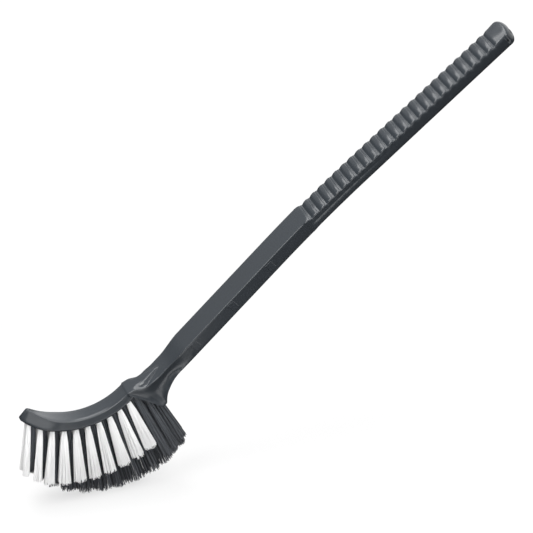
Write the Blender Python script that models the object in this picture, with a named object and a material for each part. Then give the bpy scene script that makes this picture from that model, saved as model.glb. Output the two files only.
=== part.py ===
"""A long-handled toilet brush: one moulded body, and the tufts of bristles set in its curved head.

The brush's own frame has its origin in the middle of the shaft, where the neck begins. X runs along the
handle to its free end and Z out of its upper face. An empty then turns the brush to its standing pose."""

import math

import bmesh
import bpy
from mathutils import Matrix, Vector

# Pose: the handle's slope above the floor
handle_rise = math.radians(41.6)

# Shaft
shaft_width = 0.0202
shaft_height = 0.0102
shaft_foot_width = 0.0202
edge_chamfer = 0.0004
bend_start = 0.086
bend_radius = 1.0
bend_angle = math.radians(4.4)
bend_station_share = 0.25
handle_length = 0.2950

# Pads on the shaft's sides
pad_pitch = 0.0357
pad_first = 0.0073
pad_count = 3
pad_length = 0.0050
pad_proud = 0.0004
pad_gap_above = 0.0014
pad_gap_below = 0.0020
pad_corner = 0.0012

# Grip
grip_start = 0.1143
grip_step = 0.0002
grip_height = 0.0102
groove_first = 0.1198
groove_pitch = 0.006675
end_block_length = 0.0150
groove_depth = 0.0010
groove_edge_share = 0.7
groove_side_depth = 0.0003
land_width = 0.0080
end_radius = 0.0030
end_dome = 0.0022
# Shape of one rib: places along the pitch, and heights above the groove
rib_place_shares = (0.0, 0.13, 0.34, 0.66, 0.87)
rib_height_shares = (0.0, 0.66, 1.0, 1.0, 0.66)
# Roundness of the grip's section at its free end, as shares of its half width and height
round_width_shares = (0.0, 0.2, 0.4, 0.86, 0.97, 1.0, 0.98, 0.89, 0.0)
round_height_shares = (1.0, 1.0, 1.0, 0.88, 0.58, -0.05, -0.72, -1.0, -1.0)

# Neck, between the shaft and the head
neck_width = 0.0172
neck_head_width = 0.0150
neck_dip = 0.0011
neck_narrow_x = -0.0170
neck_waist_x = -0.0280
neck_full_x = 0.0020
# Where the neck's sections stand, along the heel's rim, on to its narrowest place, and up to the shaft
rim_place_shares = (0.0, 0.25, 0.5, 0.75, 1.0)
heel_place_shares = (0.12, 0.3, 0.5, 0.75, 1.0)
neck_place_shares = (0.25, 0.5, 0.75)
# A ramp like a ship's prow climbs from the shaft's upper face to the head
ramp_apex_x = -0.0215
ramp_foot_x = -0.0345
ramp_rise = 0.0068
ramp_curve_share = 1.15
ramp_nose_width = 0.0012

# Head: a strip bent to an arc, whose upper face has this radius
arc_radius = 0.0482
arc_centre_x = -0.0488
arc_top_z = 0.0097
arc_sweep = math.radians(83.6)
arc_overrun = math.radians(3.4)
head_top_width = 0.0138
head_foot_width = 0.0160
head_neck_thickness = 0.0052
head_tip_thickness = 0.0090
head_top_taper_length = 0.0230
head_foot_taper_length = 0.0150
head_tip_width = 0.0024
head_chamfer = 0.0008

# Heel: the skirt below the neck, and the pocket in it
heel_rim_top_z = 0.0034
heel_rim_x = -0.0449
heel_rim_length = 0.0208
heel_corner_z = -0.0162
heel_rim_lean = math.radians(19.9)
heel_rim_width = 0.0196
heel_rim_top_width = 0.0166
heel_back_x = -0.0118
heel_back_radius = 0.0290
pocket_width = 0.0140
pocket_roof_x = -0.0456
pocket_roof_z = 0.0042
pocket_roof_slope = math.radians(32.0)
pocket_roof_length = 0.0140
pocket_back_x = -0.0364

# Tufts
column_first = 0.0062
column_neck_gap = 0.0016
heel_column_first = 0.0014
heel_column_pitch = 0.0052
white_columns = 10
heel_columns = 3
row_offset = 0.0047
tip_row_offset = 0.0022
row_full_column = 1.5
heel_row_offset = 0.0043
hole_radius = 0.0019
hole_depth = 0.0034
hole_roof = 0.0013
plug_clearance = 0.0003
white_length = 0.0404
tip_trim = 0.0042
dark_trim_radius = 0.0680
side_trim_radius = 0.0630
dark_trim_x = -0.0607
dark_trim_z = 0.0146
first_lean = math.radians(-137.5)
fan_step = math.radians(3.86)
heel_fan_step = math.radians(2.0)
fan_first_column = 2
row_splay = math.radians(3.0)
tuft_spread = 0.0039
middle_tuft_spread = 0.0049
tip_tuft_spread = 0.0023
spread_full_column = 3
heel_tuft_spread = 0.0029
strand_root = 0.00050
strand_tip = 0.00085
strands_per_tuft = 10
strand_sides = 4
flat_depth = 0.0005

overrun = 0.0010
"""How far a cutter reaches past what it cuts, and a joined piece into its neighbour."""

sharp_angle = math.radians(30.0)
"""Faces that meet at more than this are shaded with an edge between them."""

GOLDEN_TURN = math.pi * (3.0 - math.sqrt(5.0))


def clear_scene():
    for obj in list(bpy.data.objects):
        bpy.data.objects.remove(obj)


def collection(name):
    made = bpy.data.collections.new(name)
    bpy.context.scene.collection.children.link(made)
    return made


def material(name, colour, roughness):
    made = bpy.data.materials.new(name)
    made.use_nodes = True
    made.diffuse_color = (*colour, 1.0)
    shader = made.node_tree.nodes["Principled BSDF"]
    shader.inputs["Base Color"].default_value = (*colour, 1.0)
    shader.inputs["Roughness"].default_value = roughness
    shader.inputs["Metallic"].default_value = 0.0
    return made


def mix(a, b, share):
    return a + (b - a) * share


def eased(value, low, high):
    """0 below low, 1 above high, and a smooth step between them."""
    share = min(1.0, max(0.0, (value - low) / (high - low)))
    return share * share * (3.0 - 2.0 * share)


def handle_path(s):
    """The middle of the handle at arc length s: its x, its z, and its slope."""
    slope = bend_angle / 2.0
    if s <= bend_start:
        return s * math.cos(slope), s * math.sin(slope), slope
    x, z = bend_start * math.cos(slope), bend_start * math.sin(slope)
    bent = min(s - bend_start, bend_radius * bend_angle)
    turned = slope - bent / bend_radius
    x += bend_radius * (math.sin(slope) - math.sin(turned))
    z += bend_radius * (math.cos(turned) - math.cos(slope))
    rest = s - bend_start - bent
    return x + rest * math.cos(turned), z + rest * math.sin(turned), turned


def full_ring(half, place):
    """A closed ring from its half, which runs from the top middle to the bottom middle."""
    other = [(-y, v) for y, v in half[-2:0:-1]]
    return [place(y, v) for y, v in [*half, *other]]


def across_path(s):
    x, z, slope = handle_path(s)

    def place(y, v):
        return Vector((x - v * math.sin(slope), y, z + v * math.cos(slope)))

    return place


def across_x(x):
    def place(y, z):
        return Vector((x, y, z))

    return place


def object_of(name, mesh, where):
    """An object from a bmesh, which is freed."""
    bmesh.ops.recalc_face_normals(mesh, faces=mesh.faces)
    data = bpy.data.meshes.new(name)
    mesh.to_mesh(data)
    mesh.free()
    data.shade_smooth()
    data.set_sharp_from_angle(angle=sharp_angle)
    made = bpy.data.objects.new(name, data)
    where.objects.link(made)
    return made


def loft(name, rings, where):
    """A closed mesh through rings with the same number of points."""
    mesh = bmesh.new()
    rows = [[mesh.verts.new(point) for point in ring] for ring in rings]
    count = len(rows[0])
    for row, after in zip(rows, rows[1:]):
        for i in range(count):
            j = (i + 1) % count
            mesh.faces.new((row[i], row[j], after[j], after[i]))
    mesh.faces.new(rows[0])
    mesh.faces.new(rows[-1])
    return object_of(name, mesh, where)


def shaft_half(top_half_width, foot_half_width):
    """Half of the shaft's section: flat above and below, with chamfered edges and drafted sides."""
    h = shaft_height / 2.0
    c = edge_chamfer
    a = top_half_width
    b = foot_half_width
    return [
        (0.0, h),
        (land_width / 4.0, h),
        (land_width / 2.0, h),
        (a - c, h),
        (a, h - c),
        (mix(a, b, 0.5), 0.0),
        (b, c - h),
        (b - c, -h),
        (0.0, -h),
    ]


def grip_half(s, height_share):
    """Half of the grip's section at s, where height_share goes from 0 in a groove to 1 on a rib's crest."""
    roundness = eased(s, grip_start, handle_length)
    a = shaft_width / 2.0 + grip_step
    b = shaft_foot_width / 2.0 + grip_step
    h = grip_height / 2.0
    straight = shaft_half(a, b)
    sunk = groove_depth * (1.0 - height_share)
    side_sunk = groove_side_depth * (1.0 - height_share) * roundness
    points = []
    for i, (y, v) in enumerate(straight):
        round_y = y
        if i > 2:
            round_y = a * round_width_shares[i]
        y = mix(y, round_y, roundness)
        v = mix(v * grip_height / shaft_height, h * round_height_shares[i], roundness)
        if i < 3:
            v -= sunk
        if i == 3:
            v -= sunk * groove_edge_share
            y -= sunk * (1.0 - roundness) / 2.0
        if i == 4:
            v -= sunk / 2.0
            y -= sunk * (1.0 - roundness) / 3.0
        if 3 < i < 7:
            y -= side_sunk
        points.append((y, v))
    return points


def groove_count():
    """As many grooves as fit in front of the plain block at the free end."""
    room = handle_length - end_block_length - groove_first
    return int(room / groove_pitch + 0.5) + 1


def grip_rings():
    rings = [full_ring(grip_half(grip_start, 1.0), across_path(grip_start))]
    first_ramp = mix(grip_start, groove_first, rib_place_shares[3])
    rings.append(full_ring(grip_half(first_ramp, 1.0), across_path(first_ramp)))
    count = groove_count()
    for k in range(count):
        last = k == count - 1
        for place_share, height_share in zip(rib_place_shares, rib_height_shares):
            if last and place_share > rib_place_shares[2]:
                break
            s = groove_first + (k + place_share) * groove_pitch
            rings.append(full_ring(grip_half(s, height_share), across_path(s)))
    return rings


def end_rings():
    """The free end: a rounded edge, and a face that is domed across its width."""
    half = grip_half(handle_length, 1.0)
    half_width = shaft_width / 2.0 + grip_step
    half_height = grip_height / 2.0
    rings = []
    for quarter in range(4):
        angle = quarter * math.pi / 6.0
        inset = end_radius * (1.0 - math.cos(angle))
        s = handle_length - end_radius + end_radius * math.sin(angle)
        wide, tall = 1.0 - inset / half_width, 1.0 - inset / half_height
        ring = []
        for y, v in half:
            ring.append((y * wide, v * tall))
        other = [(-y, v) for y, v in ring[-2:0:-1]]
        places = []
        for y, v in [*ring, *other]:
            back = end_dome * (y / half_width) ** 2
            places.append(across_path(s - back)(y, v))
        rings.append(places)
    return rings


def lower_face_z(x):
    """The shaft's lower face, carried on straight under the neck."""
    _, z, _ = handle_path(x)
    return z - shaft_height / 2.0


def heel_back_z(x):
    """The lower side of the neck, which curves down to the heel's corner."""
    reach = min(heel_back_x - x, heel_back_radius)
    if reach <= 0.0:
        return lower_face_z(x)
    return lower_face_z(heel_back_x) - heel_back_radius + math.sqrt(heel_back_radius ** 2 - reach ** 2)


def rim_z(x):
    """The heel's lower rim, a straight line that leans back from the head."""
    return heel_rim_top_z - (x - heel_rim_x) / math.tan(heel_rim_lean)


def neck_half_width(x):
    """Half the width of the neck's upper face, which is waisted below the shaft and narrows to the head."""
    waisted = mix(neck_width, shaft_width, eased(x, neck_narrow_x, neck_full_x))
    return mix(neck_head_width, waisted, eased(x, heel_rim_x, neck_waist_x)) / 2.0


def heel_half_width(x):
    """Half the width of the neck's foot, which flares out from the head to the heel."""
    flared = mix(heel_rim_top_width, heel_rim_width, eased(x, heel_rim_x, heel_corner_x()))
    return mix(flared, shaft_foot_width, eased(x, neck_narrow_x, neck_full_x)) / 2.0


def heel_corner_x():
    return heel_rim_x + heel_rim_length * math.sin(heel_rim_lean)


def neck_half(x):
    """Half of the neck's section at x: the ramp on its upper face, and the heel below it."""
    a = neck_half_width(x)
    b = heel_half_width(x)
    c = edge_chamfer
    _, path, _ = handle_path(x)
    flat = path + shaft_height / 2.0 - neck_dip * (1.0 - eased(x, neck_narrow_x, neck_full_x))
    climb = min(1.0, max(0.0, (ramp_apex_x - x) / (ramp_apex_x - heel_rim_x)))
    spread = min(1.0, max(0.0, (ramp_apex_x - x) / (ramp_apex_x - ramp_foot_x)))
    crest = flat + ramp_rise * climb ** ramp_curve_share
    nose = ramp_nose_width / 2.0
    crest_half = mix(nose, a - 2.0 * c, climb)
    foot_half = mix(2.0 * nose, a - c - overrun / 4.0, spread)
    crest_half = min(crest_half, foot_half - overrun / 4.0)
    low = max(heel_back_z(x), rim_z(x), heel_corner_z)
    # Close to the head the upper edge stays above the rim
    edge = max(flat, low + 3.0 * c)
    middle = mix(edge, low, 0.5)
    return [
        (0.0, crest),
        (crest_half, crest),
        (foot_half, edge),
        (a - c, edge),
        (a, edge - c),
        (mix(a, b, 0.5), middle),
        (b, low + c),
        (b - c, low),
        (0.0, low),
    ]


def neck_rings():
    # The first section lies inside the head's strip
    top = arc_top_z - overrun
    low = arc_top_z - head_neck_thickness + overrun
    a = neck_head_width / 2.0 - overrun
    c = edge_chamfer
    first = [
        (0.0, top),
        (a / 4.0, top),
        (a / 2.0, top),
        (a - c, top),
        (a, top - c),
        (a, mix(top, low, 0.5)),
        (a, low + c),
        (a - c, low),
        (0.0, low),
    ]
    rings = [full_ring(first, across_x(heel_rim_x - 3.0 * overrun))]
    corner_x = heel_corner_x()
    places = [mix(heel_rim_x, corner_x, share) for share in rim_place_shares]
    places += [mix(corner_x, neck_narrow_x, share) for share in heel_place_shares]
    places += [mix(neck_narrow_x, neck_full_x, share) for share in neck_place_shares]
    for x in places:
        rings.append(full_ring(neck_half(x), across_x(x)))
    return rings


def handle_rings():
    """Neck, shaft and grip as one run of sections."""
    rings = neck_rings()
    shaft = shaft_half(shaft_width / 2.0, shaft_foot_width / 2.0)
    bend_end = bend_start + bend_radius * bend_angle
    stations = [neck_full_x, bend_start / 2.0, bend_start]
    stations += [mix(bend_start, bend_end, bend_station_share), grip_start - grip_step]
    for s in stations:
        if s < grip_start:
            rings.append(full_ring(shaft, across_path(s)))
    return rings + grip_rings() + end_rings()


def head_angle(d):
    """The direction from the arc's centre to the head's upper face, at distance d from its tip."""
    return math.pi * 1.5 - arc_sweep + d / arc_radius


def head_thickness(d):
    share = 1.0 - d / (arc_radius * arc_sweep)
    return mix(head_neck_thickness, head_tip_thickness, max(0.0, share) ** 2)


def arc_centre():
    return Vector((arc_centre_x, 0.0, arc_top_z + arc_radius))


def head_point(d, depth, y):
    """A point of the head: d along its upper face from the tip, depth below that face, and y across it."""
    angle = head_angle(d)
    reach = arc_radius + depth
    return arc_centre() + Vector((reach * math.cos(angle), y, reach * math.sin(angle)))


def head_half_width(d, full_width, taper_length):
    narrow = math.sqrt(min(1.0, max(0.0, d) / taper_length))
    return max(head_tip_width / 2.0, full_width / 2.0 * narrow)


def head_rings():
    length = arc_radius * (arc_sweep + arc_overrun)
    tip_steps, steps = 6, 13
    places = [head_top_taper_length * (i / tip_steps) ** 2 for i in range(tip_steps + 1)]
    places += [mix(head_top_taper_length, length, i / steps) for i in range(1, steps + 1)]
    rings = []
    for d in places:
        a = head_half_width(d, head_top_width, head_top_taper_length)
        b = head_half_width(d, head_foot_width, head_foot_taper_length)
        t = head_thickness(d)
        c = min(head_chamfer, a / 3.0)
        half = [(0.0, 0.0), (a - c, 0.0), (a, c), (b, t - c), (b - c, t), (0.0, t)]
        other = [(-y, depth) for y, depth in half[-2:0:-1]]
        rings.append([head_point(d, depth, y) for y, depth in [*half, *other]])
    return rings


def roof_point(distance):
    """A point of the pocket's roof, from its edge at the head."""
    across = distance * math.cos(pocket_roof_slope)
    down = distance * math.sin(pocket_roof_slope)
    return Vector((pocket_roof_x + across, 0.0, pocket_roof_z - down))


def column_place(column):
    """How far a column of tufts is from the head's tip, along the upper face."""
    last = arc_radius * arc_sweep - column_neck_gap
    return mix(column_first, last, column / (white_columns - 1))


def root_at(column):
    """The point, at y = 0, where a tuft's axis meets the head's underside or the pocket's roof."""
    if column > white_columns - 0.25:
        return roof_point(heel_column_first + (column - white_columns) * heel_column_pitch)
    d = column_place(column)
    return head_point(d, head_thickness(d), 0.0)


def pads(where):
    """Low pads on both sides of the shaft, flush above and proud below."""
    mesh = bmesh.new()
    side_lean = (shaft_width - shaft_foot_width) / 2.0 / shaft_height
    for k in range(pad_count):
        x, z, slope = handle_path(pad_first + k * pad_pitch)
        top = shaft_height / 2.0 - pad_gap_above
        low = pad_gap_below - shaft_height / 2.0
        for side in (-1.0, 1.0):
            box = bmesh.new()
            bmesh.ops.create_cube(box, size=1.0)
            bmesh.ops.scale(box, vec=(pad_length, pad_proud + overrun, top - low), verts=box.verts)
            middle = Vector((0.0, (pad_proud - overrun) / 2.0, (top + low) / 2.0))
            bmesh.ops.translate(box, vec=middle, verts=box.verts)
            corners = [e for e in box.edges if abs(e.verts[0].co.y - e.verts[1].co.y) > pad_proud]
            lower = [e for e in corners if e.verts[0].co.z < 0.0]
            bmesh.ops.bevel(box, geom=lower, offset=pad_corner, segments=2, affect="EDGES", profile=0.5)
            outward = shaft_width / 2.0 - side_lean * (shaft_height / 2.0 - top) - pad_proud / 2.0
            turn = Matrix.Translation((x, side * outward, z)) @ Matrix.Rotation(-slope, 4, "Y")
            if side < 0.0:
                turn = turn @ Matrix.Diagonal((1.0, -1.0, 1.0, 1.0))
            box.transform(turn)
            bmesh.ops.recalc_face_normals(box, faces=box.faces)
            data = bpy.data.meshes.new("pad")
            box.to_mesh(data)
            box.free()
            mesh.from_mesh(data)
            bpy.data.meshes.remove(data)
    return object_of("side_pads", mesh, where)


def pocket(where):
    """The hollow in the heel that its tufts stand in, open towards the bristles."""
    forward = Vector((-math.cos(heel_rim_lean), 0.0, -math.sin(heel_rim_lean))) * overrun * 3.0
    rim_start = Vector((heel_rim_x, 0.0, heel_rim_top_z))
    back_foot = Vector((pocket_back_x, 0.0, heel_corner_z - overrun))
    outline = [
        roof_point(0.0),
        roof_point(pocket_roof_length),
        back_foot,
        back_foot + forward,
        rim_start + forward,
    ]
    rings = []
    for side in (-1.0, 1.0):
        aside = Vector((0.0, side * pocket_width / 2.0, 0.0))
        rings.append([point + aside for point in outline])
    return loft("heel_pocket", rings, where)


def tuft_places():
    """Every tuft as its row, its number in the row, whether it is dark, and its place along the head."""
    columns = white_columns + heel_columns
    found = []
    for side, row in ((-1.0, "near"), (0.0, "middle"), (1.0, "far")):
        staggered = 0.5 if side == 0.0 else 0.0
        for k in range(columns - (1 if side == 0.0 else 0)):
            dark = side == 0.0 or k >= white_columns
            found.append((row, k, side, k + staggered, dark))
    return found


def tuft_axis(side, column):
    """Where a tuft's axis meets the head, and the way it points."""
    root = root_at(column)
    fanned = max(0.0, min(column, white_columns - 1) - fan_first_column)
    heeled = max(0.0, column - white_columns + 1)
    lean = first_lean + fan_step * fanned + heel_fan_step * heeled
    offset = mix(tip_row_offset, row_offset, min(1.0, column / row_full_column))
    splay = row_splay
    if column >= white_columns:
        offset = heel_row_offset
        splay = 0.0
    root.y = side * offset
    flat = math.cos(splay)
    along = Vector((math.cos(lean) * flat, side * math.sin(splay), math.sin(lean) * flat))
    return root, along


def tuft_length(root, along, column, dark):
    """White tufts are cut to one length, and dark ones to one round outline."""
    if not dark:
        return white_length - tip_trim * max(0.0, 1.0 - column / fan_first_column)
    radius = dark_trim_radius if root.y == 0.0 else side_trim_radius
    centre = Vector((dark_trim_x, root.y, dark_trim_z))
    flat = Vector((along.x, 0.0, along.z))
    back = root - centre
    b = back.dot(flat) / flat.length_squared
    c = (back.length_squared - radius ** 2) / flat.length_squared
    return -b + math.sqrt(b * b - c)


def plug_depth(column):
    """The plug ends a little short of the hole's blind end."""
    d = min(column_place(column), arc_radius * arc_sweep)
    return min(hole_depth, head_thickness(d) - hole_roof)


def rod(mesh, start, end, start_radius, end_radius, sides, turn=0.0):
    """A straight rod with flat ends, added to a bmesh."""
    along = (end - start).normalized()
    across = along.cross(Vector((0.0, 1.0, 0.0))).normalized()
    third = along.cross(across)
    rings = []
    for centre, radius in ((start, start_radius), (end, end_radius)):
        ring = []
        for i in range(sides):
            angle = turn + 2.0 * math.pi * i / sides
            outward = across * math.cos(angle) + third * math.sin(angle)
            ring.append(mesh.verts.new(centre + outward * radius))
        rings.append(ring)
    faces = [mesh.faces.new(rings[0]), mesh.faces.new(rings[1][::-1])]
    for i in range(sides):
        j = (i + 1) % sides
        faces.append(mesh.faces.new((rings[0][j], rings[0][i], rings[1][i], rings[1][j])))
    return faces


def holes(places, where):
    mesh = bmesh.new()
    for _, _, side, column, _ in places:
        root, along = tuft_axis(side, column)
        depth = plug_depth(column) + plug_clearance
        mouth = root + along * (hole_radius + overrun)
        rod(mesh, root - along * depth, mouth, hole_radius, hole_radius, 12)
    return object_of("tuft_holes", mesh, where)


def boolean(target, other, operation):
    modifier = target.modifiers.new(other.name, "BOOLEAN")
    modifier.operation = operation
    modifier.object = other
    modifier.solver = "EXACT"
    other.hide_render = True
    other.display_type = "WIRE"


def tuft(name, side, column, dark, parts, cutters):
    """A plug in its hole, and the strands that spread from it."""
    root, along = tuft_axis(side, column)
    length = tuft_length(root, along, column, dark)
    depth = plug_depth(column)
    plug_radius = hole_radius - plug_clearance
    plug = bmesh.new()
    rod(plug, root - along * depth, root, plug_radius, plug_radius, 8)
    made = object_of(name, plug, parts)
    full_spread = tuft_spread if side else middle_tuft_spread
    spread = mix(tip_tuft_spread, full_spread, min(1.0, column / spread_full_column))
    if column > white_columns - 0.25:
        spread = heel_tuft_spread
    across = along.cross(Vector((0.0, 1.0, 0.0))).normalized()
    third = along.cross(across)
    strands = bmesh.new()
    for i in range(strands_per_tuft):
        share = math.sqrt((i + 0.5) / strands_per_tuft)
        angle = (i * GOLDEN_TURN + column) * (-1.0 if side > 0.0 else 1.0)
        outward = across * math.cos(angle) + third * math.sin(angle)
        start = root + outward * share * (plug_radius - strand_root) - along * strand_root
        end = root + outward * share * spread + along * length
        rod(strands, start, end, strand_root / 2.0, strand_tip / 2.0, strand_sides, angle)
    boolean(made, object_of(name + "_strands", strands, cutters), "UNION")
    return made


def box_of(obj, graph):
    """The lowest and highest corner of the box round an object as built."""
    built = obj.evaluated_get(graph)
    mesh = built.to_mesh()
    low = Vector((math.inf, math.inf, math.inf))
    high = -low
    for vertex in mesh.vertices:
        point = built.matrix_world @ vertex.co
        low = Vector(map(min, low, point))
        high = Vector(map(max, high, point))
    built.to_mesh_clear()
    return low, high


def stand(pose, pieces, where):
    """Puts the brush on the floor, over the origin, and cuts the lowest tips flat where they stand."""
    bpy.context.view_layer.update()
    graph = bpy.context.evaluated_depsgraph_get()
    boxes = [box_of(obj, graph) for obj in pieces]
    floor_z = min(low.z for low, _ in boxes) + flat_depth
    left = min(low.x for low, _ in boxes)
    right = max(high.x for _, high in boxes)
    pose.location = (-(left + right) / 2.0, 0.0, -floor_z)
    slab = bmesh.new()
    bmesh.ops.create_cube(slab, size=1.0)
    bmesh.ops.scale(slab, vec=(right - left, head_foot_width * 2.0, overrun * 2.0), verts=slab.verts)
    bmesh.ops.translate(slab, vec=(0.0, 0.0, -overrun), verts=slab.verts)
    floor = object_of("floor_cut", slab, where)
    for obj, (low, _) in zip(pieces, boxes):
        if low.z < floor_z:
            boolean(obj, floor, "DIFFERENCE")


def main():
    clear_scene()
    parts = collection("toilet_brush")
    cutters = collection("toilet_brush_cutters")
    grey = material("moulded_grey", (0.060, 0.066, 0.072), 0.42)
    white = material("white_bristle", (0.86, 0.86, 0.85), 0.45)
    dark_grey = material("dark_bristle", (0.045, 0.050, 0.056), 0.45)

    places = tuft_places()
    body = loft("handle_and_head", handle_rings(), parts)
    boolean(body, loft("head_strip", head_rings(), cutters), "UNION")
    boolean(body, pads(cutters), "UNION")
    boolean(body, pocket(cutters), "DIFFERENCE")
    boolean(body, holes(places, cutters), "DIFFERENCE")
    body.data.materials.append(grey)

    pieces = [body]
    for row, k, side, column, dark in places:
        shade = "dark" if dark else "white"
        made = tuft(f"tuft_{row}_{k + 1:02d}_{shade}", side, column, dark, parts, cutters)
        made.data.materials.append(dark_grey if dark else white)
        pieces.append(made)

    pose = bpy.data.objects.new("brush_pose", None)
    parts.objects.link(pose)
    pose.rotation_euler = (0.0, -handle_rise, 0.0)
    for obj in [*pieces, *cutters.objects]:
        obj.parent = pose
    stand(pose, pieces, cutters)


main()
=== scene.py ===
"""The looks of a long-handled toilet brush: one satin grey moulding with a ribbed grip, and tufts of white
and dark bristles in its curved head.

Lengths are metres. The brush's own frame has its origin in the middle of the shaft, where the neck begins,
X along the handle to its free end and Z out of its upper face; standing() turns it to the pose that it
stands in."""

import math

import bmesh
import bpy
from mathutils import Matrix, Vector


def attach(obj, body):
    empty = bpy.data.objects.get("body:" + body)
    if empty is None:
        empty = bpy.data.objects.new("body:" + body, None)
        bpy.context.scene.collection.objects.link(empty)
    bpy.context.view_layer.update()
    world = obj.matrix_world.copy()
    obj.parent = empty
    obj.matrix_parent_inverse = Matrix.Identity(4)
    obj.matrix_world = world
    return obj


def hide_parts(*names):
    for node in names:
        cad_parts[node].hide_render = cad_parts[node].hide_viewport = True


# Pose of the brush on the floor
handle_rise = math.radians(41.6)
standing_at = Vector((-0.055191, 0.0, 0.097406))

# Sections of the moulding: how many points there are up to the end of the top, the edge, the upper side and
# the lower side
top_end, edge_end, side_end, lower_end = 11, 15, 20, 23

# Shaft
shaft_width = 0.0202
shaft_height = 0.0102
shaft_edge = 0.00055
parting_gap = 0.0002
bend_start = 0.086
bend_radius = 1.0
bend_angle = math.radians(4.4)
handle_length = 0.29495

# Pads on the shaft's sides
pad_pitch = 0.0357
pad_first = 0.0073
pad_count = 3
pad_length = 0.0050
pad_proud = 0.0004
pad_gap_above = 0.0014
pad_gap_below = 0.0020
pad_corner = 0.0012
pad_sunk = 0.001

# Grip
grip_start = 0.1143
grip_step = 0.0002
groove_first = 0.1198
groove_pitch = 0.006675
groove_count = 25
groove_depth = 0.0010
groove_edge_share = 0.5
groove_side_depth = 0.00010
groove_fade_points = 3.0
rib_lean = 1.12
rib_roundness = 2.2
rib_line_place = 0.77
rib_line_width = 0.07
rib_line_depth = 0.28
rib_stations = 36
land_width = 0.0080
end_radius = 0.0030
end_dome = 0.0022
grip_edge = 0.0009
grip_crown = 0.5
rib_crown = 0.155
ledge = 0.00016
ledge_fade_share = 0.4
ledge_end = 0.21
sharp_angle = math.radians(40.0)

# Neck
neck_width = 0.0172
neck_head_width = 0.0150
neck_dip = 0.0011
neck_narrow_x = -0.0170
neck_waist_x = -0.0280
neck_full_x = 0.0020
neck_edge = 0.0005
neck_flare_power = 2.2

# Ramp on the neck's upper face. A lead is how far before a place something begins, and a tail how far past it
ramp_apex_x = -0.0215
ramp_foot_x = -0.0345
ramp_fall = math.radians(15.5)
ridge_fall = math.radians(10.8)
ridge_nose = 0.0030
roof_share = 0.05
prow_lead = 0.008
prow_tail = 0.002
prow_nose = 0.0005
prow_foot = 0.0070
prow_margin = 0.0003
prow_level = 0.56
prow_steep_share = 0.8
prow_crowding = 1.6
shoulder_rise = 0.0008
shoulder_lead = 0.004
shoulder_tail = 0.002
shoulder_end_lead = 0.003

# Hollow in the neck's side
hollow_depth = 0.0015
hollow_corner_lead = 0.002
hollow_waist_lead = 0.003
hollow_narrow_lead = 0.003
hollow_end_lead = 0.006

# Where the neck goes into the head's strip
join_step = 0.0004
join_drop = 0.00003
join_reach = 0.003
join_width_share = 0.8
join_height_share = 0.5

# Head
arc_radius = 0.0482
arc_centre = Vector((-0.0488, 0.0, 0.0579))
arc_sweep = math.radians(83.6)
arc_overrun = math.radians(3.4)
head_top_width = 0.0138
head_foot_width = 0.0160
head_neck_thickness = 0.0052
head_tip_thickness = 0.0090
head_top_taper = 0.0230
head_foot_taper = 0.0150
head_tip_width = 0.0024
head_edge = 0.0007
head_line_width = 0.0004
head_line_rise = 0.35
head_end_round = 0.0012

# Heel
heel_rim_top_z = 0.0034
heel_rim_x = -0.0449
heel_rim_length = 0.0208
heel_corner_z = -0.0162
heel_rim_lean = math.radians(19.9)
heel_rim_width = 0.0196
heel_rim_top_width = 0.0166
heel_back_x = -0.0118
heel_back_radius = 0.0290
heel_edge = 0.0016
heel_round_run = 0.004
heel_round_lead = 0.003
pocket_width = 0.0140
pocket_roof_x = -0.0456
pocket_roof_z = 0.0042
pocket_roof_slope = math.radians(32.0)
pocket_roof_length = 0.0140
pocket_back_x = -0.0364
pocket_forward = 0.003
pocket_overrun = 0.001

# Tufts
column_first = 0.0062
column_neck_gap = 0.0016
white_columns = 10
heel_columns = 3
heel_column_first = 0.0014
heel_column_pitch = 0.0052
row_offset = 0.0047
tip_row_offset = 0.0022
row_full_column = 1.5
heel_row_offset = 0.0043
hole_radius = 0.0019
hole_depth = 0.0034
hole_roof = 0.0013
rod_overrun = 0.001
white_length = 0.0402
tip_trim = 0.0022
dark_trim_radius = 0.0680
side_trim_radius = 0.0630
dark_trim_x = -0.0607
dark_trim_z = 0.0146
first_lean = math.radians(-137.5)
fan_step = math.radians(3.86)
heel_fan_step = math.radians(2.0)
fan_first_column = 2
spread_full_column = 3
row_splay = math.radians(2.7)
tuft_spread = 0.0037
middle_tuft_spread = 0.0049
tip_tuft_spread = 0.00185
heel_tuft_spread = 0.0031
heel_side_spread = 0.0027

# Bristles
bunched_radius = 0.0011
bristle_radius = 0.00018
bristles_per_tuft = 150
bristle_segments = 4
bristle_sides = 5
bristle_crowding = 0.43
bristle_swing = 0.0006
golden_turn = math.pi * (3.0 - math.sqrt(5.0))
turn_jitter = 0.3
cut_range = (-1.0, 0.3)
stray_power = 7.0
stray_reach = 0.12
root_depth = 0.001
opening_reach = (0.02, 0.13)
opening_share = 0.2

# Finishes
grey_colour = (0.0245, 0.0288, 0.0338, 1.0)
grey_roughness = 0.21
grey_refraction = 1.46
gloss_variation = 0.08
mottle = 0.06
mottle_scale = 60.0
grain_size = 0.0005
grain_depth = 0.05
grain_height = 0.0001
white_colour = (0.95, 0.95, 0.95)
dark_colour = (0.082, 0.088, 0.098)
dark_tip_colour = (0.095, 0.100, 0.110)

# White paper: the middle of the pool of light painted into its colour in front of the head, and how that
# fades outwards to painted shade;
# and the same for the part that shows the brush's shadow
painted_light_middle = (-0.09, -0.235, 0.0)
painted_light_reach = (0.06, 0.13)
painted_light_paper, painted_shade_paper = 0.95, 0.06
shadow_middle = (-0.08, -0.04, 0.0)
shadow_reach = (0.12, 0.27)
shadow_share = 0.42
shadow_paper = (0.49, 0.49, 0.49, 1.0)
paper_strength = 1.02

# Sky: two glows, each with the way it faces, how squarely a ray has to face it, and its strength
high_facing, high_reach, high_strength = (0.94, 0.30, 0.15), (0.3, 0.9), (0.0, 1.2)
low_facing, low_reach, low_strength = (0.62, 0.0, 0.78), (-0.28, -0.05), (0.07, 0.50)

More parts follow.
